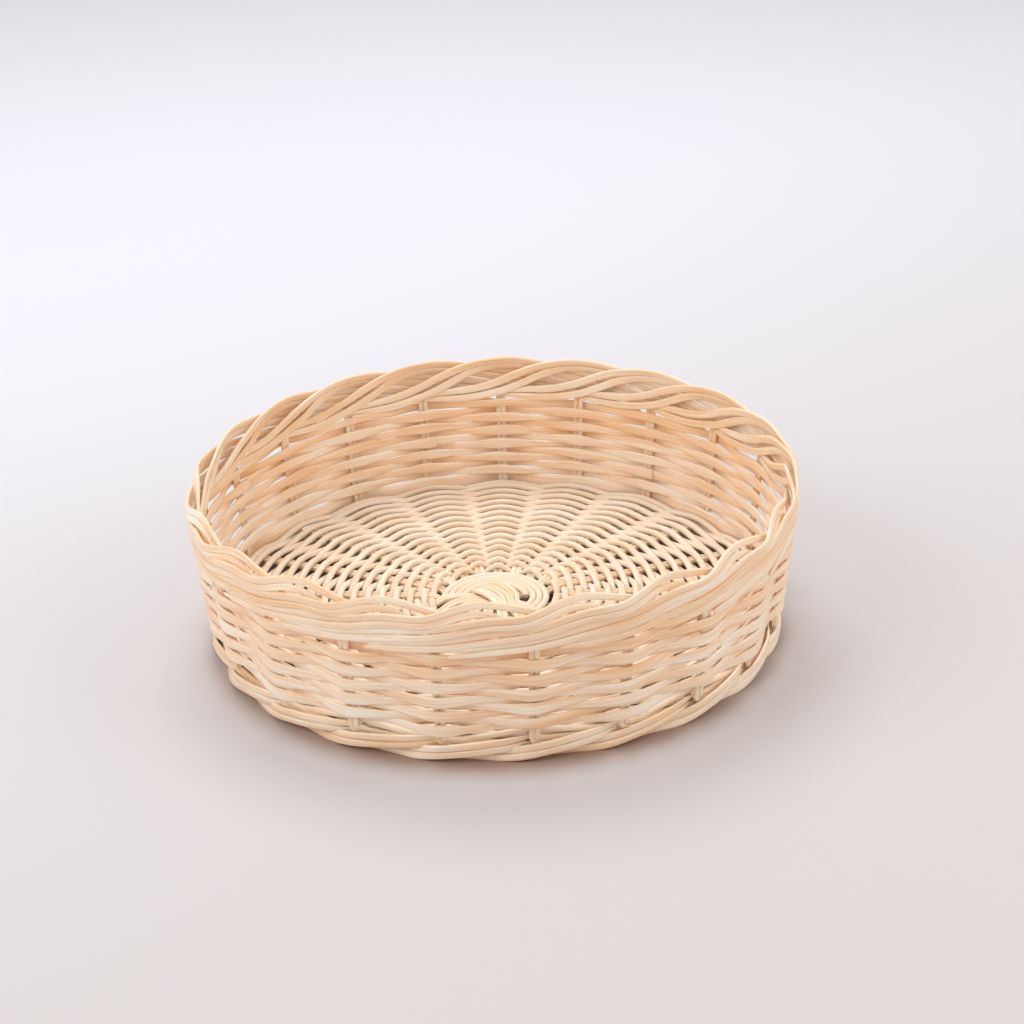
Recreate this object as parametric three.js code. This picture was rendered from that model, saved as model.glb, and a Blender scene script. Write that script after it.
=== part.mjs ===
// A round rattan basket, woven from loose reeds and strips that hold each other by friction.
// Sizes are in millimetres, +Z is up, and the basket stands on the floor at z = 0.
//
// The pieces, from the middle out:
//   four crossed groups of base spokes and one added pair, bound by a flat coil of reed,
//   base weavers that run over one pair of spokes and under the next in one long spiral,
//   stake pairs that stand in a ring, with both ends rolled down into a rim and a foot border,
//   wall weavers that climb the stakes in one long helix, in front of one and behind the next.
//
// An odd number of stakes lets a single line of weaving change sides on every round.

import * as THREE from 'three';

// Overall sizes
const rimDiameter = 250;
const footDiameter = 235;
const basketHeight = 68;

// Stakes: two round reeds side by side, with a groove between them
const stakeCount = 21;
const stakeReed = 1.95;
const stakeGroove = 0.4;
const firstStakeAngle = THREE.MathUtils.degToRad(2.4);

// Rolled borders: how far a pair travels round the basket before it ends, in bays
const rimTravel = 4.9;
const footTravel = 2.9;
const borderClearance = 0.3;
const layerClearance = 0.8;
const crestClearance = 1.9;
const crestShift = 0.95;
const borderStart = 1.3;
const turnHeight = 3.4;
const turnClearance = 0.25;
const innerStart = 4.2;

// How far a pair is below the top of a border where it starts its last climb, at its second
// stake and beside the crest
const climbDrop = 6;
const stakeDrop = 2.8;
const crestDrop = 1.96;

// Wall weavers: flat strips, widest where they cross a stake and narrow where two rows cross.
// Both widths are shares of the distance from row to row.
const wallRounds = 11;
const stripShare = 1.5;
const waistShare = 0.69;
const stripThickness = 1.1;
const wallClearance = 0.3;
const wallWeavers = 7;

// Base spokes and base weavers: round reed
const spokeReed = 2.1;
const spokeGroove = 0.5;
const groupGap = 0.3;
const baseReedWidth = 2.6;
const baseReedHeight = 2.2;
const basePitch = 2.88;
const baseClearance = 0.3;
const baseWeavers = 9;

// Middle of the base
const layerHalfLength = 9;
const bindingStart = 17.9;
const bindingRounds = 2.5;
const bindingClearance = 0.2;
const spokeSettle = 3.8;

// Gap that is left where two reeds end against each other
const buttGap = 0.3;

// Colours of the unvarnished reeds
const stakeColour = 0xe3c08a;
const stripColour = 0xead0a0;
const spokeColour = 0xd6b07a;
const baseColour = 0xefe3cb;

const TURN = 2 * Math.PI;
const UP = new THREE.Vector3(0, 0, 1);
const bayAngle = TURN / stakeCount;
const pairWidth = 2 * stakeReed;
const layerOffset = (stakeReed + layerClearance) / 2;
const bindingPitch = baseReedWidth + bindingClearance;

// How far the wall falls back from the flat of a pair by the pair's own edges.
const cornerDrop = pairWidth / 2 * Math.tan(bayAngle / 2);
const turnOffset = layerOffset + cornerDrop + turnClearance;

// A rolled border seen as heights above the last row of weaving. A pair climbs the inner face,
// crosses the top and comes down the outer face, one pair's width in each bay.
const borderRise = pairWidth + borderClearance;
const outerEnd = pairWidth / 2 + borderClearance;

function rolledBorder(travel) {
  const outerStart = outerEnd + (travel - 2) * borderRise;
  const crest = outerStart - 0.4 * borderRise + pairWidth / 2 + stakeReed / 2 + crestClearance;
  return { travel, outerStart, crest, height: crest + stakeReed / 2 };
}

const rimBorder = rolledBorder(rimTravel);
const footBorder = rolledBorder(footTravel);

// The wall is a cone through the middle of the stakes.
const rimRadius = rimDiameter / 2 - layerOffset - stakeReed / 2;
const footRadius = footDiameter / 2 - layerOffset - stakeReed / 2;
const flare = (rimRadius - footRadius) / basketHeight;
const wallBottom = footBorder.height;
const wallTop = basketHeight - rimBorder.height;

// The rounds of the wall weaving fill the wall from border to border.
const rowPitch = (wallTop - wallBottom) / (wallRounds + stripShare);
const stripHeight = stripShare * rowPitch;
const stripWaist = waistShare * rowPitch;

function wallRadius(z) {
  return footRadius + flare * z;
}

function stakeAngle(index) {
  return firstStakeAngle + index * bayAngle;
}

// A place on the wall: bays counted round from the first stake, the offset from the middle
// of the stakes, and the height. Between two stakes the wall runs straight.
function place(bays, offset, z) {
  const radius = wallRadius(z) + offset;
  const [from, to] = [Math.floor(bays), Math.floor(bays) + 1].map((stake) => new THREE.Vector3(
    radius * Math.cos(stakeAngle(stake)), radius * Math.sin(stakeAngle(stake)), z));
  return from.lerp(to, bays - Math.floor(bays));
}

// One closed reed from a list of cross-sections, each with the same number of corners.
function reedFromSections(sections) {
  const sides = sections[0].length;
  const positions = sections.flat().flatMap((corner) => corner.toArray());
  const index = [];
  for (let i = 0; i < sections.length - 1; i += 1) {
    for (let j = 0; j < sides; j += 1) {
      const a = i * sides + j;
      const b = i * sides + (j + 1) % sides;
      index.push(a, b, a + sides, b, b + sides, a + sides);
    }
  }
  const last = (sections.length - 1) * sides;
  for (let j = 1; j < sides - 1; j += 1) {
    index.push(0, j + 1, j, last, last + j, last + j + 1);
  }
  const geometry = new THREE.BufferGeometry();
  geometry.setAttribute('position', new THREE.Float32BufferAttribute(positions, 3));
  geometry.setIndex(signedVolume(positions, index) < 0 ? index.reverse() : index);
  return geometry;
}

function signedVolume(positions, index) {
  const corner = (i) => new THREE.Vector3().fromArray(positions, 3 * i);
  let volume = 0;
  for (let i = 0; i < index.length; i += 3) {
    volume += corner(index[i]).dot(corner(index[i + 1]).cross(corner(index[i + 2]))) / 6;
  }
  return volume;
}

// Unit directions along a run of points, each the mean of the two stretches that meet there.
function directions(points) {
  return points.map((point, i) => {
    const back = i > 0 ? point.clone().sub(points[i - 1]).normalize() : new THREE.Vector3();
    const ahead = i < points.length - 1
      ? points[i + 1].clone().sub(point).normalize() : new THREE.Vector3();
    return back.add(ahead).normalize();
  });
}

// The outer face bends at every stake that it passes, and ends between two.
function outerBays(travel) {
  const whole = Math.floor(travel) - 1;
  return [...Array.from({ length: whole }, (_, i) => 2 + i), travel];
}

// The stops of a pair in a rolled border. Each has the bays travelled, the height above the
// weaving, the offset from the middle of the wall and how far the flat of the pair has rolled
// over: 0 lies on the inner face, 90 on top and 180 on the outer face. Near its second stake a
// pair stays low enough for the pair before it to come over the top.
function borderStops(border) {
  const outerHeight = (bays) => border.outerStart - borderRise * (bays - 2);
  return [
    { bays: 0, height: borderStart, offset: 0, roll: 0 },
    { bays: 0.05, height: turnHeight, offset: -turnOffset, roll: 0 },
    { bays: 0.24, height: innerStart, offset: -layerOffset, roll: 0 },
    { bays: 0.84, height: border.height - climbDrop, offset: -layerOffset, roll: 0 },
    { bays: 1, height: border.height - stakeDrop, offset: -layerOffset, roll: 0 },
    { bays: 1.2, height: border.height - crestDrop, offset: -layerOffset, roll: 0 },
    { bays: 1.4, height: border.crest, offset: -crestShift, roll: 90 },
    { bays: 1.63, height: border.crest, offset: crestShift, roll: 90 },
    ...outerBays(border.travel).map((bays) => (
      { bays, height: outerHeight(bays), offset: layerOffset, roll: 180 })),
  ];
}

// A pair of reeds from the end in the foot border, up the wall, to the end in the rim border.
// The rim is rolled clockwise seen from above. The foot is rolled the same way with the basket
// turned over, which is anticlockwise from above. The crests of the foot are rubbed flat where
// they stand on the floor, so they have no groove there.
function stakePair(stake) {
  const foot = borderStops(footBorder).map((stop) => ({
    point: place(stake + stop.bays, stop.offset, wallBottom - stop.height),
    bays: stake + stop.bays, roll: stop.roll, away: -1, groove: stop.roll === 90 ? 0 : stakeGroove,
  }));
  const rim = borderStops(rimBorder).map((stop) => ({
    point: place(stake - stop.bays, stop.offset, wallTop + stop.height),
    bays: stake - stop.bays, roll: stop.roll, away: 1, groove: stakeGroove,
  }));
  const stops = [...foot.reverse(), ...rim];
  const along = directions(stops.map((stop) => stop.point));
  return reedFromSections(stops.map((stop, i) => {
    const inward = place(stop.bays, -1, 0).sub(place(stop.bays, 0, 0)).normalize();
    const roll = THREE.MathUtils.degToRad(stop.roll);
    const flat = inward.multiplyScalar(Math.cos(roll)).addScaledVector(UP, stop.away * Math.sin(roll));
    const side = along[i].clone().cross(flat).normalize();
    if (stop.roll !== 90) flat.crossVectors(side, along[i]);
    return stakeSection(stop.point, side, flat, stop.groove);
  }));
}

// Two square-edged reeds side by side. The first corner is in the groove, from where the end
// caps reach every other corner.
function stakeSection(centre, side, flat, groove) {
  const half = stakeReed / 2;
  const corners = [
    [0, groove - half], [stakeReed, -half], [stakeReed, half],
    [0, half - groove], [-stakeReed, half], [-stakeReed, -half],
  ];
  return corners.map(([s, f]) => centre.clone().addScaledVector(side, s).addScaledVector(flat, f));
}

// One wall weaver between two stakes of the helix, counted in bays from its start.
// It crosses behind the even stakes and in front of the odd ones.
function wallWeaver(firstBay, lastBay) {
  const behind = stakeReed / 2 + wallClearance + stripThickness / 2;
  const infront = (behind + cornerDrop) / (1 - pairWidth / (footRadius * bayAngle));
  const section = (bays) => {
    const nearest = Math.round(bays);
    const atStake = 1 - 2 * Math.abs(bays - nearest);
    const offset = atStake * (nearest % 2 === 0 ? -behind : infront);
    const height = stripWaist + (stripHeight - stripWaist) * atStake;
    const z = wallBottom + stripHeight / 2 + rowPitch * bays / stakeCount;
    return [[-1, -1], [1, -1], [1, 1], [-1, 1]].map(([s, f]) => (
      place(bays, offset + s * stripThickness / 2, z + f * height / 2)));
  };
  const trim = buttGap / 2 / (wallRadius(wallBottom) * bayAngle);
  const sections = [section(firstBay + trim)];
  for (let bays = firstBay + 0.5; bays < lastBay; bays += 0.5) sections.push(section(bays));
  sections.push(section(lastBay - trim));
  return reedFromSections(sections);
}

// The base is held by the foot border where the stakes start to turn inwards.
const baseLevel = wallBottom - borderStart;
const baseEdge = wallRadius(baseLevel) - turnOffset - stakeReed / 2 - buttGap;
const spokeEnd = baseEdge - buttGap;
const bindingLevel = baseReedHeight / 2 + baseClearance + spokeReed / 2;
const bindingEnd = bindingStart + bindingPitch * bindingRounds + baseReedWidth / 2;
const settled = bindingEnd + buttGap + spokeSettle;

// Spokes: pairs that run right through the base. Pair i comes out at spoke i on one side and
// at spoke i + throughPairs on the other, which leaves one spoke for the added pair.
const throughPairs = (stakeCount - 1) / 2;
const groupSizes = [3, 2, 3, 2];
const groupLayers = [1.5, -0.5, 0.5, -1.5];
const firstSpoke = 1;

// The height of a group above the middle of the base, by distance from the centre. It keeps
// its own layer where the groups cross, then lies over or under the binding, then settles.
function groupProfile(layer) {
  const layerHeight = layer * (spokeReed + baseClearance);
  const bound = Math.sign(layer) * bindingLevel;
  return [
    { radius: layerHalfLength, height: layerHeight },
    { radius: bindingStart - baseReedWidth / 2, height: bound },
    { radius: bindingEnd, height: bound },
    { radius: settled, height: 0 },
    { radius: spokeEnd, height: 0 },
  ];
}

function radialPoint(angle, radius, side, height) {
  return new THREE.Vector3(
    radius * Math.cos(angle) - side * Math.sin(angle),
    radius * Math.sin(angle) + side * Math.cos(angle),
    baseLevel + height);
}

// Two reeds side by side, each with a ridge above and below and a groove between them.
function spokePair(points) {
  const ridge = spokeReed / 2;
  const corners = [
    [0, -spokeGroove], [spokeReed / 2, -ridge], [spokeReed, 0], [spokeReed / 2, ridge],
    [0, spokeGroove], [-spokeReed / 2, ridge], [-spokeReed, 0], [-spokeReed / 2, -ridge],
  ];
  return reedFromSections(directions(points).map((along, i) => {
    const side = along.cross(UP).normalize();
    return corners.map(([s, u]) => points[i].clone().addScaledVector(side, s).addScaledVector(UP, u));
  }));
}

// One pair of a group. Inside layerHalfLength the pairs of a group lie side by side, and
// outside it each pair fans out to its own spoke.
function throughPair(group, pair) {
  const firstPair = groupSizes.slice(0, group).reduce((sum, size) => sum + size, 0);
  const size = groupSizes[group];
  const shift = (pair - (size - 1) / 2) * (2 * spokeReed + groupGap);
  const half = (place, opposite, lateral) => {
    const spoke = firstSpoke + firstPair + place + opposite;
    const middle = firstSpoke + firstPair + (size - 1) / 2 + opposite;
    return groupProfile(groupLayers[group]).map(({ radius, height }) => (radius > layerHalfLength
      ? radialPoint(stakeAngle(spoke), radius, 0, height)
      : radialPoint(stakeAngle(middle), radius, lateral, height)));
  };
  const near = half(pair, 0, shift);
  const far = half(size - 1 - pair, throughPairs, -shift);
  return spokePair([...near.reverse(), ...far]);
}

// The short pair that makes the number of spokes odd. It starts against the binding.
function addedSpokePair() {
  const angle = stakeAngle(firstSpoke + 2 * throughPairs);
  return spokePair([bindingEnd + buttGap, spokeEnd].map((radius) => radialPoint(angle, radius, 0, 0)));
}

function baseSection(spoke, radius, height) {
  return [[-1, -1], [1, -1], [1, 1], [-1, 1]].map(([r, h]) => radialPoint(
    stakeAngle(spoke), radius + r * baseReedWidth / 2, 0, height + h * baseReedHeight / 2));
}

// The flat coil that binds the crossed groups: over two of them and under the other two.
function starBinding() {
  const steps = Math.round(bindingRounds * stakeCount);
  const sections = [];
  for (let i = 0; i <= steps; i += 1) {
    sections.push(baseSection(i, bindingStart + bindingPitch * i / stakeCount, 0));
  }
  return reedFromSections(sections);
}

// The base spiral has as many whole rounds as fit, and they fill the base from the binding to
// the foot border.
const firstRadius = settled + baseReedWidth / 2;
const lastRadius = baseEdge - buttGap - baseReedWidth / 2;
const baseSteps = Math.floor((lastRadius - firstRadius) / basePitch) * stakeCount;

function spiralRadius(step) {
  return firstRadius + (lastRadius - firstRadius) * step / baseSteps;
}

// How far a weaver stands off the spokes to clear both reeds of a pair, by the local spacing.
function crossingHeight(radius) {
  const spacing = radius * bayAngle;
  return (baseReedHeight / 2 + spokeReed / 2 + baseClearance) / (1 - spokeReed / spacing);
}

// One base weaver between two steps of the spiral, under the even spokes and over the odd.
function baseWeaver(firstStep, lastStep) {
  const sections = [];
  for (let step = firstStep; step <= lastStep; step += 1) {
    const radius = spiralRadius(step);
    const side = step % 2 === 0 ? -1 : 1;
    sections.push(baseSection(step, radius, side * crossingHeight(radius)));
  }
  trimEnd(sections, 0, 1);
  trimEnd(sections, sections.length - 1, sections.length - 2);
  return reedFromSections(sections);
}

// Draws one end of a reed back by half the butt gap, towards the next section.
function trimEnd(sections, end, next) {
  const length = sections[end][0].distanceTo(sections[next][0]);
  sections[end] = sections[end].map((corner, j) => (
    corner.clone().lerp(sections[next][j], buttGap / 2 / length)));
}

// The weavers are cut to about the same length, so the outer ones make fewer rounds.
// Each one ends under a spoke.
function baseWeaverStep(share) {
  const radius = Math.sqrt(firstRadius ** 2 + share * (lastRadius ** 2 - firstRadius ** 2));
  return 2 * Math.round((radius - firstRadius) / (lastRadius - firstRadius) * baseSteps / 2);
}

const group = new THREE.Group();

function add(name, geometry, colour) {
  const material = new THREE.MeshStandardMaterial({ color: colour, roughness: 0.6, metalness: 0 });
  const mesh = new THREE.Mesh(geometry, material);
  mesh.name = name;
  group.add(mesh);
}

function numbered(name, number) {
  return `${name}_${String(number).padStart(2, '0')}`;
}

for (let i = 0; i < groupSizes.length; i += 1) {
  for (let pair = 0; pair < groupSizes[i]; pair += 1) {
    add(`${numbered('spoke_group', i + 1)}_pair_${pair + 1}`, throughPair(i, pair), spokeColour);
  }
}
add('added_spoke_pair', addedSpokePair(), spokeColour);
add('star_binding', starBinding(), baseColour);
for (let i = 0; i < baseWeavers; i += 1) {
  const ends = [i, i + 1].map((n) => baseWeaverStep(n / baseWeavers));
  add(numbered('base_weaver', i + 1), baseWeaver(...ends), baseColour);
}
for (let i = 0; i < stakeCount; i += 1) {
  add(numbered('stake_pair', i + 1), stakePair(i), stakeColour);
}
for (let i = 0; i < wallWeavers; i += 1) {
  const ends = [i, i + 1].map((n) => 2 * Math.floor(n * wallRounds * stakeCount / wallWeavers / 2));
  add(numbered('wall_weaver', i + 1), wallWeaver(...ends), stripColour);
}

// The stakes are odd in number, so the middle of the box is moved on to the z axis.
const middle = new THREE.Box3().setFromObject(group).getCenter(new THREE.Vector3());
for (const mesh of group.children) mesh.geometry.translate(-middle.x, -middle.y, 0);

export default group;
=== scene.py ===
"""Round rattan basket: the woven reeds, their finishes and the stage.

The weaving is worked out in millimetres round the basket's own axis, and the meshes are in metres
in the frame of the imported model. Bays are the spaces between stakes, counted from the first stake,
anticlockwise from above.
"""

import math

import bpy
import numpy as np
from mathutils import Matrix, Vector


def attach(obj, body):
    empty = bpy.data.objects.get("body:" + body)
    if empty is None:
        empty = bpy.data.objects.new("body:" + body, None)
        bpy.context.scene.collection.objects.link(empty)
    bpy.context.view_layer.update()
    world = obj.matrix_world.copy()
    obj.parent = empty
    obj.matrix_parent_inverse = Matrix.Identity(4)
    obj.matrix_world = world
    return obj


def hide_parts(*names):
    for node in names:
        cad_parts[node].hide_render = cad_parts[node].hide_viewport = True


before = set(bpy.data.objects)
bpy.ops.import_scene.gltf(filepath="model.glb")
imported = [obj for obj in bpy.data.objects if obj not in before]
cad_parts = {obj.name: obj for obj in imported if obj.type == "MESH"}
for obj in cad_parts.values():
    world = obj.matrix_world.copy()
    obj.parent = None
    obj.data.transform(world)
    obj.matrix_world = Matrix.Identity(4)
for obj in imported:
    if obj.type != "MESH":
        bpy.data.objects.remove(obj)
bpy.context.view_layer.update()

bl_info = {
    "name": "Round rattan basket",
    "version": (1, 0, 0),
    "blender": (4, 5, 0),
    "location": "3D View > Sidebar > Basket",
    "description": "Weaves a round rattan basket with rolled borders around its packed model",
    "category": "Add Mesh",
}

MM = 0.001
AXIS = np.array((-0.159, -0.328, 0.0))

# The ring of stakes. A bay is about BAY_LENGTH long on the wall, and falls back between stakes.
STAKES = 21
BAY = 2 * math.pi / STAKES
BAY_LENGTH = 36
FIRST_STAKE = math.radians(2.4)
FOOT_RADIUS = 115.15
FLARE = 0.1103
BAY_SAG = 0.0112

# The wall between the borders. The helix of strips starts at a share of a pitch. Its first bays,
# up to LOW_BAYS, hang lower and reach down to the base, and past the last round it runs on for
# TAIL_BAYS, a little higher, with a fuller waist, and in the end thinned to a share.
WALL_BOTTOM = 10.15
WALL_TOP = 49.45
WALL_ROUNDS = 11
WALL_PITCH = 3.144
WALL_START = 0.75
WALL_WEAVERS = 7
WALL_LAP = 0.13
WALL_TUCK = 0.9
WALL_TUCK_BAYS = 0.4
WALL_WAVE = 0.93
LOW_BAYS = 13
LOW_FADE = 4
LOW_DROP = 1.5
LOW_HEIGHT = 2.8
TAIL_BAYS = 11
TAIL_FADE = 3
TAIL_RISE = 0.45
TAIL_WAIST = 1.8
TAIL_THINNED = 0.5

# The base: the coil that binds the spokes, the spiral woven round it and the crossed groups. A
# group lies on its own layer in the middle, and each half of it above or below the coil.
BASE_LEVEL = 8.85
SPOKE_END = 112.63
BINDING_START = 12.4
BINDING_PITCH = 2.75
BINDING_ROUNDS = 3.5
BINDING_LEVEL = 2.15
BINDING_END = BINDING_START + BINDING_PITCH * BINDING_ROUNDS
BINDING_WIDTH = 0.92
SPIRAL_START = 31.6
SPIRAL_END = 111.33
SPIRAL_BAYS = 567
SPIRAL_LEAD = 50
SPIRAL_TAIL = 30
SPIRAL_WAVE = 0.9
SPIRAL_PAST = 1.1
BASE_WEAVERS = 9
BASE_TRIM = 0.012
THROUGH_PAIRS = 10
GROUP_SIZES = (3, 2, 3, 2)
GROUP_LAYERS = (0.5, -0.5, 1.5, -1.5)
GROUP_SIDES = ((-1, 1), (-1, 1), (-1, 1), (-1, -1))
STAR_TURN = 0.6
LAYER_HALF_LENGTH = 6.5

# Radii of the stops of a spoke. Over the first BOUND_STOPS a through pair is at the binding.
SPOKE_RADII = (BINDING_START - 0.5, BINDING_END, BINDING_END + 4.5, SPIRAL_START + 4, 80.0,
               SPOKE_END)
BOUND_STOPS = 2
ADDED_RADII = (BINDING_END + 1.8, 50.0, 80.0, SPOKE_END)

# Sections: the sides of the outline and how square it is, where 1 is an ellipse and less is
# squarer. Each end of a reed has a bevel, where the section is a little smaller. The ends of a
# pair taper to the shares TIP_WIDTH and TIP_DEPTH. Points along a pair are STEP apart, those of
# strips and of the spiral are counted for each bay, and those of the coil all together.
PAIR_SECTION = (14, 0.55)
STRIP_SECTION = (16, 0.55)
BINDING_SECTION = (10, 1.0)
BASE_SECTION = (10, 0.85)
BEVEL = 0.12
BEVEL_SIZE = 0.86
TIP_WIDTH = 0.35
TIP_DEPTH = 0.3
BORDER_TIP = 13
STEP = 1.7
STRIP_POINTS = 16
SPIRAL_POINTS = 8
COIL_POINTS = 480
SEEDS = {"stakes": 11, "wall": 12, "spokes": 13, "binding": 14, "base": 15}

# A pair in a border: bays travelled, distance beyond the weaving, offset from the middle of the
# stakes, lean outwards in degrees and extra distance between its reeds. In the rim the pair
# climbs the inner face, crosses over the top and comes down the outer face, where its end is
# tucked in. The crests are arches at the front and longer and flatter at the back. A crest is
# CREST_BAYS from its stake. The rim is tallest at the angle TALL_AT, and towards the back its
# reeds grow wider by up to BACK_WIDTH. Between stakes a border falls back less than the wall.
CREST_BAYS = 1.7
TALL_AT = math.radians(45)
TALL_SHARE = 0.07
BACK_WIDTH = 0.65
BACK_GROWTH = 1.7
BORDER_SAG = 0.6 * BAY_SAG
RIM_FRONT = (
    (0.00, 1.2, -0.1, 0, 0), (0.015, 2.2, -0.3, 0, 0), (0.06, 2.9, -0.7, 0, 0),
    (0.16, 3.1, -1.1, 0, 0.2), (0.35, 3.5, -1.6, 0, 0.7), (0.60, 5.2, -2.2, 0, 1.6),
    (0.80, 7.5, -2.5, 0, 2.6), (1.00, 10.3, -2.6, -4, 3.2), (1.25, 13.4, -2.3, -10, 2.0),
    (1.50, 15.7, -1.7, -18, 0.7), (1.72, 15.2, -0.8, -20, 0), (1.88, 13.6, 0.5, -14, 0),
    (2.02, 12.3, 1.5, -4, 0), (2.50, 10.8, 1.9, 0, 0.2), (3.00, 7.4, 1.9, 0, 0.5),
    (3.50, 4.9, 1.9, 0, 0.4), (4.00, 2.5, 1.9, 0, 0.2), (4.40, 0.9, 2.1, 0, 0),
    (4.80, -0.6, 2.4, 0, 0), (5.00, -1.2, 2.4, 0, 0),
)
RIM_BACK = (
    (0.00, 1.2, -0.1, 0, 0), (0.015, 2.5, -0.3, 0, 0), (0.06, 3.2, -0.7, 0, 0),
    (0.16, 3.4, -1.1, 0, 0.1), (0.35, 3.5, -1.5, 0, 0.4), (0.60, 4.0, -2.0, 0, 0.5),
    (0.80, 5.1, -2.5, 0, 0.9), (1.00, 7.0, -2.8, 0, 1.4), (1.25, 10.1, -2.8, -2, 1.6),
    (1.50, 13.5, -2.2, -8, 0.8), (1.72, 15.3, -1.5, -16, 0.1), (1.95, 15.9, -0.6, -20, 0),
    (2.25, 15.6, 0.3, -16, 0), (2.50, 14.2, 1.2, -8, 0), (3.00, 10.7, 1.9, 0, 0),
    (3.50, 7.4, 1.9, 0, 0), (4.00, 4.4, 1.9, 0, 0), (4.40, 2.3, 2.1, 0, 0),
    (4.80, 0.3, 2.4, 0, 0), (5.00, -0.7, 2.4, 0, 0),
)
FOOT = (
    (0.00, 1.0, -0.1, 0, 0), (0.03, 2.2, -0.8, 0, 0), (0.10, 3.3, -1.5, 0, 0),
    (0.26, 4.3, -1.9, 0, 0), (0.55, 5.1, -1.9, 0, 0), (0.90, 6.3, -1.8, 0, 0),
    (1.20, 7.5, -1.5, 0, 0), (1.42, 8.0, -0.9, 10, 0), (1.60, 8.0, -0.1, 20, 0),
    (1.76, 7.4, 0.8, 20, 0), (1.90, 6.5, 1.5, 10, 0), (2.10, 5.4, 1.8, 0, 0.2),
    (2.40, 4.3, 1.8, 0, 0.2), (2.60, 3.6, 1.1, 0, 0), (2.76, 3.2, -0.1, 0, 0),
    (2.88, 3.0, -1.4, 0, 0), (3.00, 2.9, -2.2, 0, 0), (3.12, 2.8, -2.6, 0, 0),
)

# The stops of a border that differ in height and in offset from pair to pair, and the stops of
# the rim that rise where it is tall
HEIGHT_STOPS = slice(6, -1)
OFFSET_STOPS = slice(4, 9)
TALL_STOPS = slice(8, 16)

# The stage, in metres. Each lamp has a name, a place, a target, a size and its watts. The room
# lights the basket from all sides. Under the basket the floor takes a share of its painted shadow
# colour, a painted contact shadow that shows a little in front, in full up to the inner radius and
# fading to none at the outer one.
LAMP_COLOUR = (0.94, 0.975, 1.0)
LAMPS = (
    ("key_lamp", (-0.15, 0.72, 1.30), (0, 0, 0.02), 0.8, 8.0),
    ("left_lamp", (-1.10, -0.45, 0.95), (0, 0, 0.03), 1.1, 6.6),
    ("right_lamp", (1.15, -0.25, 0.80), (0, 0, 0.03), 1.1, 4.7),
)
ROOM_COLOUR = (1.0, 0.915, 0.815, 1.0)
ROOM_STRENGTH = 0.74
FLOOR = ((-6, -6, 0), (6, -6, 0), (6, 8, 0), (-6, 8, 0))
PAINTED_SHADOW_INNER = 0.106
PAINTED_SHADOW_OUTER = 0.124
PAINTED_SHADOW_SHARE = 0.85


# ---------------------------------------------------------------- paths and reeds

def ring(bays, offset, z, sag=BAY_SAG):
    """A place on the wall. x = r cos a and y = r sin a, where a is the angle of the bays and
    r = (foot radius + flare * z + offset) * (1 - sag * sin^2(pi * bays))."""
    angle = FIRST_STAKE + BAY * bays
    radius = (FOOT_RADIUS + FLARE * z + offset) * (1 - sag * np.sin(np.pi * bays) ** 2)
    return np.stack((radius * np.cos(angle), radius * np.sin(angle), z + 0 * bays), -1) + AXIS


def outward(bays):
    """The level unit vector (cos a, sin a, 0) that points away from the axis."""
    angle = FIRST_STAKE + BAY * bays
    return np.stack((np.cos(angle), np.sin(angle), 0 * angle), -1)


def run_through(stops, metric):
    """A smooth run through stops. Between stops a and b, with w from 0 to 1, each value is
    (2w^3-3w^2+1) a + (w^3-2w^2+w) d A + (3w^2-2w^3) b + (w^3-w^2) d B. A and B are the slopes
    over the neighbours of a stop, and d is the distance from a to b in the given metric."""
    stops = np.asarray(stops, float)
    chord = np.linalg.norm(np.diff(stops, axis=0) * metric, axis=1)
    at = np.concatenate(([0], np.cumsum(chord)))
    slope = np.gradient(stops, at, axis=0)
    where = np.linspace(0, at[-1], max(2, round(at[-1] / STEP)))
    i = np.clip(np.searchsorted(at, where, side="right") - 1, 0, len(chord) - 1)
    d = chord[i][:, None]
    w = (where - at[i])[:, None] / d
    return ((2 * w ** 3 - 3 * w ** 2 + 1) * stops[i] + (w ** 3 - 2 * w ** 2 + w) * d * slope[i]
            + (3 * w ** 2 - 2 * w ** 3) * stops[i + 1] + (w ** 3 - w ** 2) * d * slope[i + 1])


def unit(vectors):
    """Each vector divided by its length."""
    return vectors / np.linalg.norm(vectors, axis=-1, keepdims=True)


def travelled(path):
    """Distance along a path, from 0 at its start."""
    steps = np.linalg.norm(np.diff(path, axis=0), axis=1)
    return np.concatenate(([0], np.cumsum(steps)))


def wander(rng, along, wavelength, amount):
    """A slow unevenness: the amount times the mean of three sines with random phases, whose
    wavelengths are falling shares of the given one."""
    total = 0 * along
    for share in (1, 0.57, 0.31):
        total = total + np.sin(2 * np.pi * (along / (wavelength * share) + rng.random()))
    return amount * total / 3


def frames(path, flat):
    """Unit vectors along a path: T, the side S = T x flat, and N = S x T."""
    along = unit(np.gradient(path, axis=0))
    side = unit(np.cross(along, flat))
    return along, side, np.cross(side, along)


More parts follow.
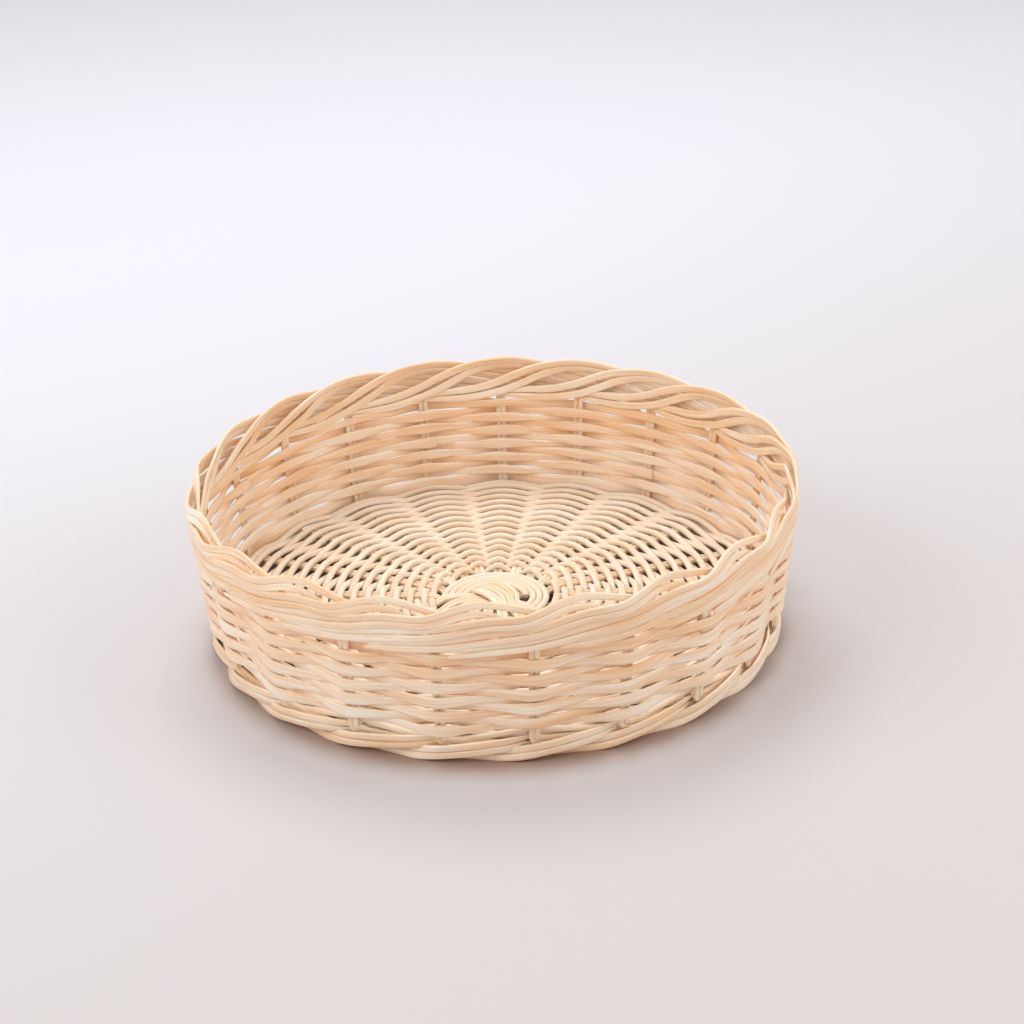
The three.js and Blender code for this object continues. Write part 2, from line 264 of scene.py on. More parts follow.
def reed(path, flat, width, depth, rng, sides, square=1.0, tone=0.0):
    """A reed carried along a path C: P(u, a) = C + w/2 |cos a|^q sign(cos a) S + d/2 |sin a|^q
    sign(sin a) N, with q = square. Each end has a bevel and a middle point that closes it. The
    grain attribute is the length along the reed and the place across it, both shifted at
    random."""
    along, side, normal = frames(path, flat)
    ends = (path[:1] - BEVEL * along[:1], path[-1:] + BEVEL * along[-1:])
    centre = np.concatenate((ends[0], path, ends[1]))
    side, normal = (np.concatenate((v[:1], v, v[-1:])) for v in (side, normal))
    count = len(centre)
    small = np.ones(count)
    small[[0, -1]] = BEVEL_SIZE
    width = small * np.pad(np.broadcast_to(width, count - 2), 1, mode="edge")
    depth = small * np.pad(np.broadcast_to(depth, count - 2), 1, mode="edge")
    a = 2 * np.pi * np.arange(sides) / sides
    across = np.sign(np.cos(a)) * np.abs(np.cos(a)) ** square / 2
    through = np.sign(np.sin(a)) * np.abs(np.sin(a)) ** square / 2
    s = width[:, None] * across
    n = depth[:, None] * through
    points = centre[:, None] + s[..., None] * side[:, None] + n[..., None] * normal[:, None]
    length = travelled(centre) + 1000 * rng.random()
    shift = 60 * rng.random(2)
    grain = np.stack((length[:, None] + 0 * s, s + shift[0], n + shift[1]), -1)
    middle = np.array([[length[0], *shift], [length[-1], *shift]])
    first = np.arange(count - 1)[:, None] * sides
    j = np.arange(sides)
    k = (j + 1) % sides
    quads = np.stack((first + j, first + k, first + sides + k, first + sides + j), -1)
    last = (count - 1) * sides
    caps = np.concatenate((np.stack((k, j, 0 * j + count * sides), -1),
                           np.stack((last + j, last + k, 0 * j + count * sides + 1), -1)))
    tones = np.pad(np.broadcast_to(tone, count - 2), 1, mode="edge")
    cut = np.zeros(count)
    cut[[0, -1]] = 1
    return {
        "points": np.concatenate((points.reshape(-1, 3), *ends)),
        "quads": quads.reshape(-1, 4)[:, ::-1],
        "caps": caps[:, ::-1],
        "grain": np.concatenate((grain.reshape(-1, 3), middle)),
        "tone": np.concatenate((np.repeat(tones, sides), tones[[0, -1]])),
        "cut": np.concatenate((np.repeat(cut, sides), (1, 1))),
    }


def reed_pair(path, flat, width, depth, rng, tip=0, spread=0.0):
    """Two reeds side by side, each half a width and half the spread from the path, that draw
    apart a little here and there. Over the length of the tip, with c from 0 to 1, the depth
    grows evenly with c and the width with the square root of c."""
    _, side, normal = frames(path, flat)
    at = travelled(path)
    both = rng.normal(0, 0.3) + wander(rng, at, 140, 0.5)
    made = []
    for way in (-1, 1):
        apart = way * (width / 2 + spread / 2 + 0.01 + wander(rng, at, 70, 0.05))
        lift = wander(rng, at, 60, 0.14)
        line = path + apart[:, None] * side + lift[:, None] * normal
        girth = 1 + wander(rng, at, 90, 0.06)
        tone = both + rng.normal(0, 0.1) + wander(rng, at, 110, 0.15)
        trim = rng.integers(0, 4)
        keep = slice(trim, len(path) - rng.integers(0, 4))
        cut = np.minimum(at - at[keep][0], at[keep][-1] - at) / tip if tip else 1 + 0 * at
        cut = np.clip(cut, 0, 1)
        narrow = width * girth * (TIP_WIDTH + (1 - TIP_WIDTH) * np.sqrt(cut))
        thin = depth * girth * (TIP_DEPTH + (1 - TIP_DEPTH) * cut)
        made.append(reed(line[keep], flat[keep], narrow[keep], thin[keep], rng, *PAIR_SECTION,
                         tone[keep]))
    return made


def woven(bays, sharpness):
    """A wave that is 1 at even bays and -1 at odd ones: asin(k cos(pi b)) / asin(k). Near k = 1
    it runs straight from crossing to crossing."""
    return np.arcsin(sharpness * np.cos(np.pi * bays)) / math.asin(sharpness)


def near_crossing(bays):
    """1 where a strip crosses a stake and 0 halfway between two, as cos^2(pi b)."""
    return np.cos(np.pi * bays) ** 2


# ---------------------------------------------------------------- pieces of the basket

def stake_pair(index, sizes, rng):
    """A stake pair from its end in the foot border, up the wall, to its end in the rim border.
    The foot is rolled anticlockwise seen from above and the rim clockwise. The rim's stops are
    (1 - s) of those at the front and s of those at the back, where s = 3k^2 - 2k^3 and k is
    0.5 + 1.1 * the sine of the crest's angle, held between 0 and 1. Over the first half bay of
    a border the section changes evenly from a stake's to a border's."""
    def border(stops, way, edge, up):
        """Stops on the wall, with small differences from pair to pair."""
        stops = np.array(stops, float)
        stops[-1, 0] += rng.uniform(-0.2, 0.05)
        stops[HEIGHT_STOPS, 1] += rng.normal(0, 0.12)
        stops[OFFSET_STOPS, 2] += rng.normal(0, 0.06)
        return np.stack((index + way * stops[:, 0], edge + up * stops[:, 1], stops[:, 2],
                         up * stops[:, 3], stops[:, 4]), -1)

    crest = FIRST_STAKE + BAY * (index - CREST_BAYS)
    back = np.clip(0.5 + 1.1 * math.sin(crest), 0, 1)
    back = back * back * (3 - 2 * back)
    tall = TALL_SHARE * max(0, math.cos(crest - TALL_AT))
    foot = border(FOOT, 1, WALL_BOTTOM, -1)[::-1]
    rim = border((1 - back) * np.array(RIM_FRONT) + back * np.array(RIM_BACK), -1, WALL_TOP, 1)
    rim[TALL_STOPS, 1] += tall * (rim[TALL_STOPS, 1] - WALL_TOP)
    wall = [(index, height, 0, 0, 0) for height in
            (WALL_BOTTOM + 2, (WALL_BOTTOM + WALL_TOP) / 2, WALL_TOP - 2)]
    run = run_through(np.concatenate((foot, wall, rim)), (BAY_LENGTH, 1, 1, 0, 0))
    bays, z, offset, lean, spread = run.T
    path = ring(bays, offset, z, BORDER_SAG)
    lean = np.radians(lean)[:, None]
    flat = outward(bays) * np.cos(lean) - np.array((0, 0, 1.0)) * np.sin(lean)
    beyond = np.clip(np.abs(bays - index) / 0.5, 0, 1)
    wider = BACK_WIDTH * min(1, BACK_GROWTH * back)
    widest = sizes.border_width / MM + wider * (z > WALL_BOTTOM)
    width = sizes.stake_width / MM + beyond * (widest - sizes.stake_width / MM)
    depth = sizes.stake_depth / MM + beyond * (sizes.border_depth - sizes.stake_depth) / MM
    made = reed_pair(path, flat, width, depth, rng, BORDER_TIP, np.maximum(spread, 0))
    for part in made:
        part["points"][:, 2] = np.maximum(part["points"][:, 2], 0)
    return made


def wall_weaver(first, last, sizes, rng):
    """A flat strip from one stake of the helix to another, counted in bays. Its offset is
    -A w(b) and its height h0 + (h1 - h0) c(b), where w is the woven wave and c is 1 at a stake.
    It drops by D (1 - w(b)) / 2. The shares low and high are 1 in the first bays and past the
    last round, and fade evenly to 0. A strip starts on the inner side of the one before it."""
    bays = np.linspace(first - WALL_LAP, last + WALL_LAP, (last - first) * STRIP_POINTS)
    at = bays * BAY_LENGTH
    wave = woven(bays, WALL_WAVE)
    amount = sizes.strip_bulge / MM + wander(rng, at, 300, 0.15)
    offset = -amount * wave + wander(rng, at, 160, 0.15)
    offset = offset - WALL_TUCK * np.clip(1 - (bays - first) / WALL_TUCK_BAYS, 0, 1)
    low = np.clip((LOW_BAYS - bays) / LOW_FADE, 0, 1)
    past = bays - WALL_ROUNDS * STAKES
    high = np.clip(past / TAIL_FADE, 0, 1)
    droop = 0.5 * (wave - 1) * sizes.strip_droop / MM
    z = (WALL_BOTTOM + WALL_START * WALL_PITCH + WALL_PITCH * bays / STAKES + droop
         - LOW_DROP * low + TAIL_RISE * high + wander(rng, at, 75, 0.38))
    path = ring(bays, offset, z)
    waist, full = sizes.strip_waist / MM + TAIL_WAIST * high, sizes.strip_height / MM
    thinned = 1 - TAIL_THINNED * np.clip(past / TAIL_BAYS, 0, 1)
    height = (waist + (full - waist) * near_crossing(bays)) * thinned + LOW_HEIGHT * low
    height = height * (1 + wander(rng, at, 55, 0.13))
    tone = rng.normal(0, 0.25) + wander(rng, at, 180, 0.8)
    return [reed(path, outward(bays), height, sizes.strip_thickness / MM, rng, *STRIP_SECTION,
                 tone)]


def spoke_pair(corners, sizes, rng):
    """A pair of spokes through a list of corner points."""
    path = run_through(corners, (1, 1, 1)) + AXIS
    flat = np.broadcast_to((0, 0, 1.0), path.shape)
    return reed_pair(path, flat, sizes.spoke_width / MM, sizes.spoke_depth / MM, rng)


def radial(bays, radius, side, height):
    """The point at a radius on the angle of the bays, moved sideways."""
    angle = FIRST_STAKE + BAY * bays
    return (radius * math.cos(angle) - side * math.sin(angle),
            radius * math.sin(angle) + side * math.cos(angle), BASE_LEVEL + height)


def through_pair(group, pair, sizes, rng):
    """A spoke pair of one of the crossed groups. It keeps its own layer where the groups cross,
    passes above or below the binding and then fans out to its own spoke."""
    size = GROUP_SIZES[group]
    first = 1 + sum(GROUP_SIZES[:group])
    stack = GROUP_LAYERS[group] * (sizes.spoke_depth / MM + 0.05)
    from_middle = pair - (size - 1) / 2
    corners = []
    for spot, opposite, way, above in zip((pair, size - 1 - pair), (0, THROUGH_PAIRS), (1, -1),
                                          GROUP_SIDES[group]):
        middle = first + (size - 1) / 2 + opposite + STAR_TURN
        side = way * from_middle * (2 * sizes.spoke_width / MM + 0.15)
        inner = [radial(middle, LAYER_HALF_LENGTH, side, stack)]
        outer = [radial(first + spot + opposite, radius, 0,
                        above * BINDING_LEVEL if stop < BOUND_STOPS else 0)
                 for stop, radius in enumerate(SPOKE_RADII)]
        corners = corners[::-1] + inner + outer
    return spoke_pair(corners, sizes, rng)


def star_binding(sizes, rng):
    """The flat coil round the crossed groups: r grows by one pitch in each round."""
    bays = np.linspace(0, BINDING_ROUNDS * STAKES, COIL_POINTS)
    angle = FIRST_STAKE + BAY * bays
    radius = BINDING_START + BINDING_PITCH * bays / STAKES
    path = np.stack((radius * np.cos(angle), radius * np.sin(angle), BASE_LEVEL + 0 * bays), -1)
    flat = np.broadcast_to((0, 0, 1.0), path.shape)
    at = travelled(path)
    width = sizes.base_width / MM * (BINDING_WIDTH + wander(rng, at, 60, 0.04))
    return [reed(path + AXIS, flat, width, sizes.base_depth / MM, rng, *BINDING_SECTION,
                 wander(rng, at, 120, 0.5))]


def base_weaver(first, last, sizes, rng):
    """A length of the base spiral from one spoke to another: r grows evenly up to just past the
    end of the spiral, and the height is -A w(b), where w is the woven wave."""
    bays = np.linspace(first + BASE_TRIM, last - BASE_TRIM, (last - first) * SPIRAL_POINTS)
    angle = FIRST_STAKE + BAY * bays
    radius = SPIRAL_START + (SPIRAL_END - SPIRAL_START) * bays / SPIRAL_BAYS
    radius = np.minimum(radius, SPIRAL_END + SPIRAL_PAST)
    at = radius * BAY * (bays - first)
    radius = radius + wander(rng, at, 110, 0.12)
    rise = (sizes.base_depth + sizes.spoke_depth) / 2 / MM + 0.05 + wander(rng, at, 140, 0.1)
    height = -rise * woven(bays, SPIRAL_WAVE)
    path = np.stack((radius * np.cos(angle), radius * np.sin(angle), BASE_LEVEL + height), -1)
    flat = np.broadcast_to((0, 0, 1.0), path.shape)
    width = sizes.base_width / MM * (1 + wander(rng, at, 80, 0.05))
    tone = rng.normal(0, 0.15) + wander(rng, at, 220, 0.5)
    return [reed(path + AXIS, flat, width, sizes.base_depth / MM, rng, *BASE_SECTION, tone)]


def base_step(share):
    """The even spoke nearest to a share of the spiral's length. The length goes as the radius
    squared."""
    radius = math.sqrt(SPIRAL_START ** 2 + share * (SPIRAL_END ** 2 - SPIRAL_START ** 2))
    along = (radius - SPIRAL_START) / (SPIRAL_END - SPIRAL_START)
    return 2 * round(along * SPIRAL_BAYS / 2)


def wall_step(share):
    """The last even stake before a share of the helix."""
    return 2 * math.floor(share * WALL_ROUNDS * STAKES / 2)


def make_piece(node, parts, finish):
    """Puts the closed reeds of a piece into one mesh, which stands for its CAD node."""
    counts = np.cumsum([0] + [len(part["points"]) for part in parts])
    joined = {key: np.concatenate([part[key] for part in parts])
              for key in ("points", "grain", "tone", "cut")}
    quads, caps = (np.concatenate([part[key] + start for part, start in zip(parts, counts)])
                   for key in ("quads", "caps"))
    mesh = bpy.data.meshes.new("rattan_" + node)
    corners = np.concatenate((quads.ravel(), caps.ravel())).astype(np.int32)
    starts = np.concatenate((4 * np.arange(len(quads)), 4 * len(quads) + 3 * np.arange(len(caps))))
    mesh.vertices.add(len(joined["points"]))
    mesh.vertices.foreach_set("co", (joined["points"] * MM).astype(np.float32).ravel())
    mesh.loops.add(len(corners))
    mesh.loops.foreach_set("vertex_index", corners)
    mesh.polygons.add(len(starts))
    mesh.polygons.foreach_set("loop_start", starts.astype(np.int32))
    mesh.polygons.foreach_set("use_smooth", np.ones(len(starts), bool))
    grain = mesh.attributes.new("grain", "FLOAT_VECTOR", "POINT")
    grain.data.foreach_set("vector", joined["grain"].astype(np.float32).ravel())
    for key in ("tone", "cut"):
        layer = mesh.attributes.new(key, "FLOAT", "POINT")
        layer.data.foreach_set("value", joined[key].astype(np.float32))
    mesh.update(calc_edges=True)
    if mesh.validate():
        raise RuntimeError(f"the mesh of {node} had faults")
    mesh.materials.append(finish)
    piece = bpy.data.objects.new("rattan_" + node, mesh)
    bpy.context.scene.collection.objects.link(piece)
    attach(piece, "root")
    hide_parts(node)
    return piece


# ---------------------------------------------------------------- finishes

# Numbers of outputs: of an Attribute node, and the object coordinates of Texture Coordinate
VECTOR = 1
FACTOR = 2
OBJECT = 3


class Shade:
    """A socket in a sum: each operator adds a Math node, and a number may stand on either side."""

    def __init__(self, sheet, socket):
        self.sheet = sheet
        self.socket = socket

    def math(self, operation, *values):
        """The result of a Math node."""
        return self.sheet.node("ShaderNodeMath", {"operation": operation}, dict(enumerate(values)))

    def __add__(self, other):
        return self.math("ADD", self, other)

    def __sub__(self, other):
        return self.math("SUBTRACT", self, other)

    def __rsub__(self, other):
        return self.math("SUBTRACT", other, self)

    def __mul__(self, other):
        return self.math("MULTIPLY", self, other)

    __radd__ = __add__
    __rmul__ = __mul__

    def clamped(self):
        """The same shade, held between 0 and 1."""
        return self.math("MINIMUM", self.math("MAXIMUM", self, 0.0), 1.0)


class Sheet:
    """The node tree of one finish."""

    def __init__(self, name):
        self.material = bpy.data.materials.new(name)
        self.material.use_nodes = True
        self.tree = self.material.node_tree
        self.shader = self.tree.nodes["Principled BSDF"]

    def node(self, kind, settings, values, output=0):
        """Adds a node: its settings first, then the values or links of its inputs."""
        made = self.tree.nodes.new(kind)
        for key, value in settings.items():
            setattr(made, key, value)
        for key, value in values.items():
            self.feed(made.inputs[key], value)
        return Shade(self, made.outputs[output])

    def feed(self, socket, value):
        """Links a shade to a socket, or sets a plain value on it."""
        if isinstance(value, Shade):
            self.tree.links.new(value.socket, socket)
        else:
            socket.default_value = value

    def constants(self, values):
        """Sets the shader's own sockets that are the same all over the surface."""
        for key, value in values.items():
            self.shader.inputs[key].default_value = value

    def attribute(self, name, output):
        """An attribute of the mesh."""
        return self.node("ShaderNodeAttribute", {"attribute_name": name}, {}, output)

    def scaled(self, vector, scale):
        """A vector times a scale for each of its parts."""
        return self.node("ShaderNodeVectorMath", {"operation": "MULTIPLY"}, {0: vector, 1: scale})

    def shifted(self, vector, way):
        """A vector moved by another."""
        return self.node("ShaderNodeVectorMath", {"operation": "ADD"}, {0: vector, 1: way})

    def length(self, vector):
        """The length of a vector."""
        return self.node("ShaderNodeVectorMath", {"operation": "LENGTH"}, {0: vector}, 1)

    def noise(self, vector, detail, roughness=0.55):
        """Noise that is about 0.5 on average."""
        return self.node("ShaderNodeTexNoise", {},
                         {"Vector": vector, "Scale": 1.0, "Detail": detail, "Roughness": roughness})

    def step(self, value, start, end):
        """0 below start, 1 above end, and smooth between."""
        return self.node("ShaderNodeMapRange", {"interpolation_type": "SMOOTHSTEP"},
                         {"Value": value, "From Min": start, "From Max": end})

    def mix(self, factor, a, b):
        """Colour a where the factor is 0 and b where it is 1."""
        return self.node("ShaderNodeMix", {"data_type": "RGBA"}, {0: factor, 6: a, 7: b}, 2)


def colour(value):
    """A colour with its alpha."""
    return (*value, 1.0)


def reed_finish(name, light, dark, looks):
    """Dry reed: fine fibres and streaks along the grain, slow changes of tone, small brown
    flecks, darker cut ends, and light that soaks in a little. The grain is in millimetres,
    along the reed first, so a noise's three scales are its changes per millimetre. A shade of
    0 is the light colour and 1 the dark one, and it is 0.5 plus each pattern's own share."""
    sheet = Sheet(name)
    grain = sheet.attribute("grain", VECTOR)
    tone = sheet.attribute("tone", FACTOR)
    cut = sheet.attribute("cut", FACTOR)
    fibres = sheet.noise(sheet.scaled(grain, (0.1, 4.5, 4.5)), 4.0, 0.65)
    streaks = sheet.noise(sheet.scaled(grain, (0.03, 1.3, 1.3)), 3.0)
    slow = sheet.noise(sheet.scaled(grain, (0.022, 0.25, 0.25)), 2.0)
    shade = (0.50 + 0.28 * tone + (streaks - 0.5) * 1.6 + (slow - 0.5) * 1.3
             + (fibres - 0.5) * 1.1 * looks.grain)
    body = sheet.mix(shade.clamped(), colour(light), colour(dark))
    lines = sheet.step(fibres, 0.60, 0.72) * (0.30 * looks.grain)
    lined = sheet.mix(lines, body, colour([0.62 * c for c in dark]))
    fine = sheet.noise(sheet.scaled(grain, (0.9, 3.5, 3.5)), 1.0)
    patches = sheet.noise(sheet.scaled(grain, (0.05, 0.4, 0.4)), 1.0)
    flecks = sheet.step(fine * 0.72 + patches * 0.28, 0.67, 0.74) * (0.5 * looks.flecks)
    stained = sheet.mix(flecks, lined, colour([0.45 * c for c in dark]))
    ends = sheet.mix((cut * 0.45).clamped(), stained, colour([0.5 * c for c in dark]))
    sheet.feed(sheet.shader.inputs["Base Color"], ends)
    rough = 0.46 + (fibres - 0.5) * 0.3 + flecks * 0.2 + cut * 0.2
    sheet.feed(sheet.shader.inputs["Roughness"], rough.clamped())
    bump = sheet.node("ShaderNodeBump", {}, {"Strength": 0.5, "Distance": 0.12 * MM,
                                             "Height": fibres + streaks * 0.6 - flecks * 0.5})
    sheet.feed(sheet.shader.inputs["Normal"], bump)
    sheet.constants({"Subsurface Weight": 0.25, "Subsurface Radius": (1.0, 0.5, 0.25),
                     "Subsurface Scale": 1.0 * MM, "Specular IOR Level": 0.5,
                     "Sheen Weight": 0.25, "Sheen Roughness": 0.4})
    return sheet.material


def floor_finish(looks):
    """A plain pale floor with a painted fall-off of the light, paler towards the back and the left,
    and a warm painted contact shadow under the basket that shows a little in front of it."""
    sheet = Sheet("plain_floor")
    place = sheet.node("ShaderNodeTexCoord", {}, {}, OBJECT)
    across = sheet.node("ShaderNodeSeparateXYZ", {}, {0: place}, 0)
    away = sheet.node("ShaderNodeSeparateXYZ", {}, {0: place}, 1)
    # Painted fall-off of the light: the floor is paler towards the back and the left
    back = sheet.step(away - across * 0.6, -0.25, 0.75)
    plain = sheet.mix(back, colour(looks.floor_front), colour(looks.floor_back))
    # Painted contact shadow: the floor turns to the shadow colour under the basket, round a centre a
    # little to the front
    flat = sheet.scaled(sheet.shifted(place, (0, 0.010, 0)), (1, 1, 0))
    shade = 1 - sheet.step(sheet.length(flat), PAINTED_SHADOW_INNER, PAINTED_SHADOW_OUTER)
    sheet.feed(sheet.shader.inputs["Base Color"],
               sheet.mix(shade * PAINTED_SHADOW_SHARE, plain, colour(looks.painted_floor_shadow)))
    sheet.constants({"Roughness": 0.9, "Specular IOR Level": 0.1})
    return sheet.material


# ---------------------------------------------------------------- sizes and looks

def measure(name, about, millimetres):
    """A length, given in millimetres and kept in metres."""
    return bpy.props.FloatProperty(name=name, description=about, default=millimetres * MM,
                                   min=0, subtype="DISTANCE", unit="LENGTH", precision=5)


def tint(name, about, value):
    """A colour."""
    return bpy.props.FloatVectorProperty(name=name, description=about, default=value, size=3,
                                         min=0, max=1, subtype="COLOR")


def share(name, about, value):
    """A strength, where 1 is the photograph's."""
    return bpy.props.FloatProperty(name=name, description=about, default=value, min=0,
                                   soft_max=2, subtype="FACTOR")


class BasketSizes(bpy.types.PropertyGroup):
    """Sizes of the reeds and strips"""
    stake_width: measure("Stake reed width", "Width of one reed of a stake pair", 2.1)
    stake_depth: measure("Stake reed depth", "Depth of one reed of a stake pair", 1.7)
    border_width: measure("Border reed width", "Width of one reed of a pair in a border", 2.75)
    border_depth: measure("Border reed depth", "Depth of one reed of a pair in a border", 1.4)
    strip_height: measure("Strip height", "Height of a wall strip where it crosses a stake", 4.7)
    strip_waist: measure("Strip waist", "Height of a wall strip between two stakes", 3.0)
    strip_thickness: measure("Strip thickness", "Thickness of a wall strip", 1.15)
    strip_bulge: measure("Strip bulge", "How far a strip stands off the middle of a stake", 1.95)
    strip_droop: measure("Strip droop", "How far a strip drops in front of a stake", 0.8)
    spoke_width: measure("Spoke reed width", "Width of one reed of a spoke pair", 2.1)
    spoke_depth: measure("Spoke reed depth", "Depth of one reed of a spoke pair", 1.8)
    base_width: measure("Base reed width", "Width of a base weaver", 2.9)
    base_depth: measure("Base reed depth", "Depth of a base weaver", 2.35)


class BasketLooks(bpy.types.PropertyGroup):
    """Colours and surface of the reeds and the stage"""
    stake_light: tint("Stake light", "Palest colour of the stakes", (0.99, 0.9, 0.79))
    stake_dark: tint("Stake dark", "Deepest colour of the stakes", (0.9, 0.57, 0.31))
    strip_light: tint("Strip light", "Palest colour of the wall strips", (0.99, 0.89, 0.78))
    strip_dark: tint("Strip dark", "Deepest colour of the wall strips", (0.9, 0.56, 0.3))
    spoke_light: tint("Spoke light", "Palest colour of the spokes", (0.98, 0.87, 0.74))
    spoke_dark: tint("Spoke dark", "Deepest colour of the spokes", (0.85, 0.61, 0.38))
    base_light: tint("Base light", "Palest colour of the base weavers", (0.98, 0.89, 0.79))
    base_dark: tint("Base dark", "Deepest colour of the base weavers", (0.86, 0.66, 0.47))
    # The front and back colours of the floor are blended into a painted fall-off of the light
    floor_front: tint("Floor front", "Colour of the floor in front", (0.624, 0.604, 0.635))
    floor_back: tint("Floor back", "Colour of the floor at the back", (0.725, 0.755, 0.855))
    # Colour of the painted contact shadow under and in front of the basket
    painted_floor_shadow: tint("Floor shade", "Colour of the floor close to the basket", (0.30, 0.17, 0.11))
    grain: share("Grain", "Strength of the fibres", 1.0)
    flecks: share("Flecks", "Strength of the brown flecks", 1.0)


# ---------------------------------------------------------------- operators

def finish_for(kind):
    """The material of a kind of reed, made once."""
    looks = bpy.context.scene.basket_looks
    name = "dry_" + kind
    if name in bpy.data.materials:
        return bpy.data.materials[name]
    light, dark = getattr(looks, kind + "_light"), getattr(looks, kind + "_dark")
    return reed_finish(name, tuple(light), tuple(dark), looks)


class BASKET_OT_stakes(bpy.types.Operator):
    """Make the stake pairs, with both ends rolled into the borders"""
    bl_idname = "basket.stakes"
    bl_label = "Stake Pairs"

    def execute(self, context):
        rng = np.random.default_rng(SEEDS["stakes"])
        for index in range(STAKES):
            parts = stake_pair(index, context.scene.basket_sizes, rng)
            make_piece(f"stake_pair_{index + 1:02d}", parts, finish_for("stake"))
        return {"FINISHED"}


class BASKET_OT_wall(bpy.types.Operator):
    """Make the flat strips that are woven round the wall"""
    bl_idname = "basket.wall"
    bl_label = "Wall Weavers"

    def execute(self, context):
        rng = np.random.default_rng(SEEDS["wall"])
        for index in range(WALL_WEAVERS):
            first, last = (wall_step(n / WALL_WEAVERS) for n in (index, index + 1))
            if index == WALL_WEAVERS - 1:
                last += TAIL_BAYS
            parts = wall_weaver(first, last, context.scene.basket_sizes, rng)
            make_piece(f"wall_weaver_{index + 1:02d}", parts, finish_for("strip"))
        return {"FINISHED"}


class BASKET_OT_spokes(bpy.types.Operator):
    """Make the spoke pairs that cross in the middle of the base, and the short added pair"""
    bl_idname = "basket.spokes"
    bl_label = "Spoke Pairs"

    def execute(self, context):
        rng = np.random.default_rng(SEEDS["spokes"])
        sizes = context.scene.basket_sizes
        finish = finish_for("spoke")
        for group, size in enumerate(GROUP_SIZES):
            for pair in range(size):
                name = f"spoke_group_{group + 1:02d}_pair_{pair + 1}"
                make_piece(name, through_pair(group, pair, sizes, rng), finish)
        corners = [radial(1 + 2 * THROUGH_PAIRS, radius, 0, 0) for radius in ADDED_RADII]
        make_piece("added_spoke_pair", spoke_pair(corners, sizes, rng), finish)
        return {"FINISHED"}


class BASKET_OT_binding(bpy.types.Operator):
    """Make the flat coil that binds the crossed spokes"""
    bl_idname = "basket.binding"
    bl_label = "Star Binding"

    def execute(self, context):
        rng = np.random.default_rng(SEEDS["binding"])
        parts = star_binding(context.scene.basket_sizes, rng)
        make_piece("star_binding", parts, finish_for("base"))
        return {"FINISHED"}


class BASKET_OT_base(bpy.types.Operator):
    """Make the round reed that is woven over and under the spokes"""
    bl_idname = "basket.base"
    bl_label = "Base Weavers"

    def execute(self, context):
        rng = np.random.default_rng(SEEDS["base"])
        for index in range(BASE_WEAVERS):
            first, last = (base_step(n / BASE_WEAVERS) for n in (index, index + 1))
            if index == 0:
                first -= SPIRAL_LEAD
            if index == BASE_WEAVERS - 1:
                last += SPIRAL_TAIL
            parts = base_weaver(first, last, context.scene.basket_sizes, rng)
            make_piece(f"base_weaver_{index + 1:02d}", parts, finish_for("base"))
        return {"FINISHED"}


class BASKET_OT_stage(bpy.types.Operator):
    """Make the floor, the lamps, the world and the camera"""
    bl_idname = "basket.stage"
    bl_label = "Stage"

    def execute(self, context):
        scene = context.scene
        scene.view_settings.view_transform = "Standard"
        mesh = bpy.data.meshes.new("floor")
        mesh.from_pydata(FLOOR, [], [(0, 1, 2, 3)])
        mesh.materials.append(floor_finish(scene.basket_looks))
        floor = bpy.data.objects.new("floor", mesh)
        scene.collection.objects.link(floor)

        world = bpy.data.worlds.new("soft_room")
        world.use_nodes = True
        background = world.node_tree.nodes["Background"]
        background.inputs["Color"].default_value = ROOM_COLOUR
        background.inputs["Strength"].default_value = ROOM_STRENGTH
        scene.world = world
        for name, place, target, size, watts in LAMPS:
            lamp = bpy.data.lights.new(name, "AREA")
            lamp.shape = "DISK"
            lamp.size = size
            lamp.energy = watts
            lamp.color = LAMP_COLOUR
            holder = bpy.data.objects.new(name, lamp)
            holder.location = place
            aim = Vector(target) - Vector(place)
            holder.rotation_euler = aim.to_track_quat("-Z", "Y").to_euler()
            scene.collection.objects.link(holder)
        scene.camera = photo_camera()
        scene.collection.objects.link(scene.camera)
        return {"FINISHED"}


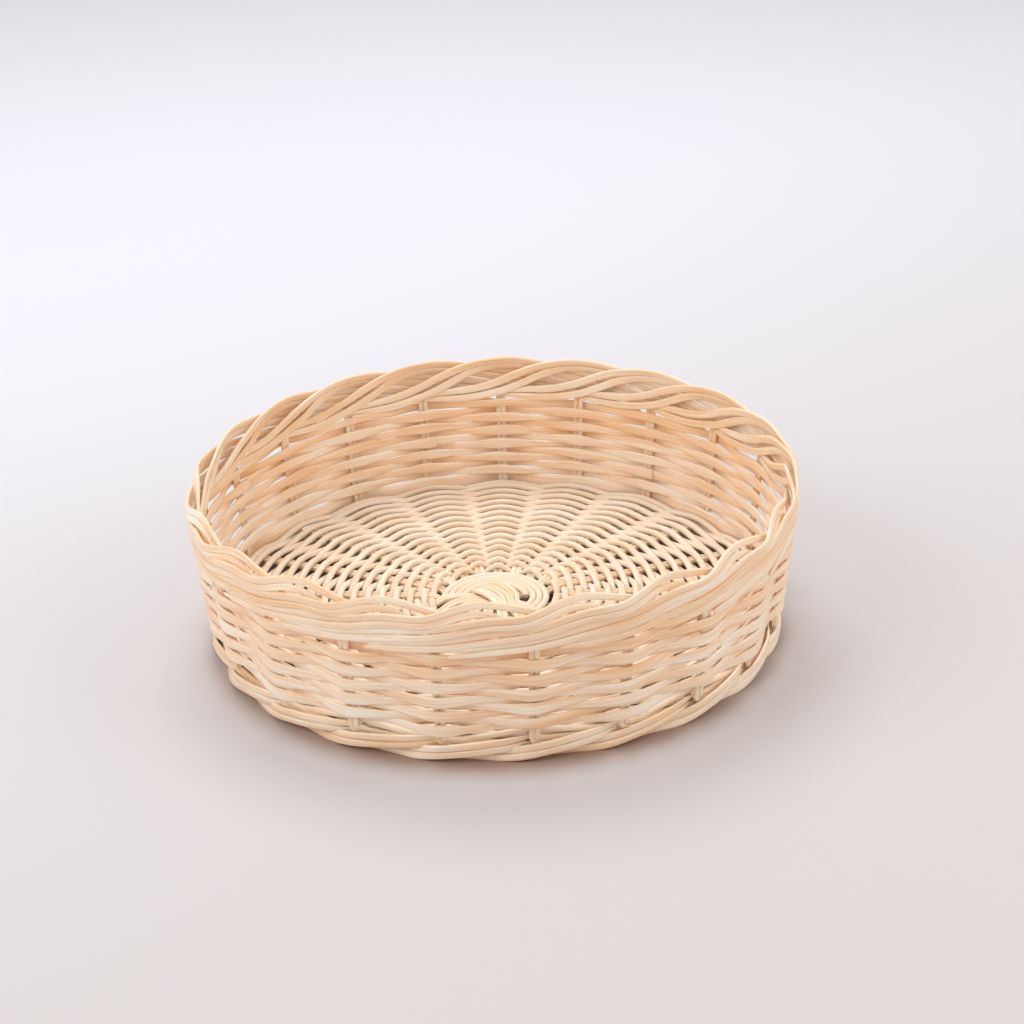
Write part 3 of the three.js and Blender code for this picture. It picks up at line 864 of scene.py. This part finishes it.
def photo_camera():
    """A camera on the line of sight of the photograph, with its focal length in pixels and its
    distance in metres. The origin falls at the pixel (across, down)."""
    pixels, focal, distance, sensor = 1024, 2240.0, 0.937, 36
    across, down = 497.5, 616.0
    elevation, roll = math.radians(24.9), math.radians(1.7)
    forward = Vector((0, math.cos(elevation), -math.sin(elevation)))
    level = Vector((1, 0, 0))
    above = Vector((0, math.sin(elevation), math.cos(elevation)))
    right = math.cos(roll) * level - math.sin(roll) * above
    up = math.sin(roll) * level + math.cos(roll) * above
    place = (-distance * forward - right * ((across - pixels / 2) / focal * distance)
             - up * ((pixels / 2 - down) / focal * distance))
    data = bpy.data.cameras.new("photo_camera")
    data.sensor_width = sensor
    data.lens = sensor * focal / pixels
    data.clip_start = 0.01
    camera = bpy.data.objects.new("photo_camera", data)
    turn = Matrix((right, up, -forward)).transposed().to_4x4()
    camera.matrix_world = Matrix.Translation(place) @ turn
    return camera


class BASKET_PT_weave(bpy.types.Panel):
    """Sizes, looks and the pieces in the order in which they are made"""
    bl_label = "Round Rattan Basket"
    bl_idname = "BASKET_PT_weave"
    bl_space_type = "VIEW_3D"
    bl_region_type = "UI"
    bl_category = "Basket"

    def draw(self, context):
        for group in (context.scene.basket_sizes, context.scene.basket_looks):
            box = self.layout.box()
            for key in group.__annotations__:
                box.prop(group, key)
        for operator in OPERATORS:
            self.layout.operator(operator.bl_idname)


OPERATORS = (BASKET_OT_spokes, BASKET_OT_binding, BASKET_OT_base, BASKET_OT_stakes,
             BASKET_OT_wall, BASKET_OT_stage)
CLASSES = (BasketSizes, BasketLooks, *OPERATORS, BASKET_PT_weave)


def register():
    for cls in CLASSES:
        bpy.utils.register_class(cls)
    bpy.types.Scene.basket_sizes = bpy.props.PointerProperty(type=BasketSizes)
    bpy.types.Scene.basket_looks = bpy.props.PointerProperty(type=BasketLooks)


def unregister():
    del bpy.types.Scene.basket_looks
    del bpy.types.Scene.basket_sizes
    for cls in reversed(CLASSES):
        bpy.utils.unregister_class(cls)


def main():
    register()
    bpy.ops.basket.spokes()
    bpy.ops.basket.binding()
    bpy.ops.basket.base()
    bpy.ops.basket.stakes()
    bpy.ops.basket.wall()
    bpy.ops.basket.stage()


if __name__ == "__main__":
    main()
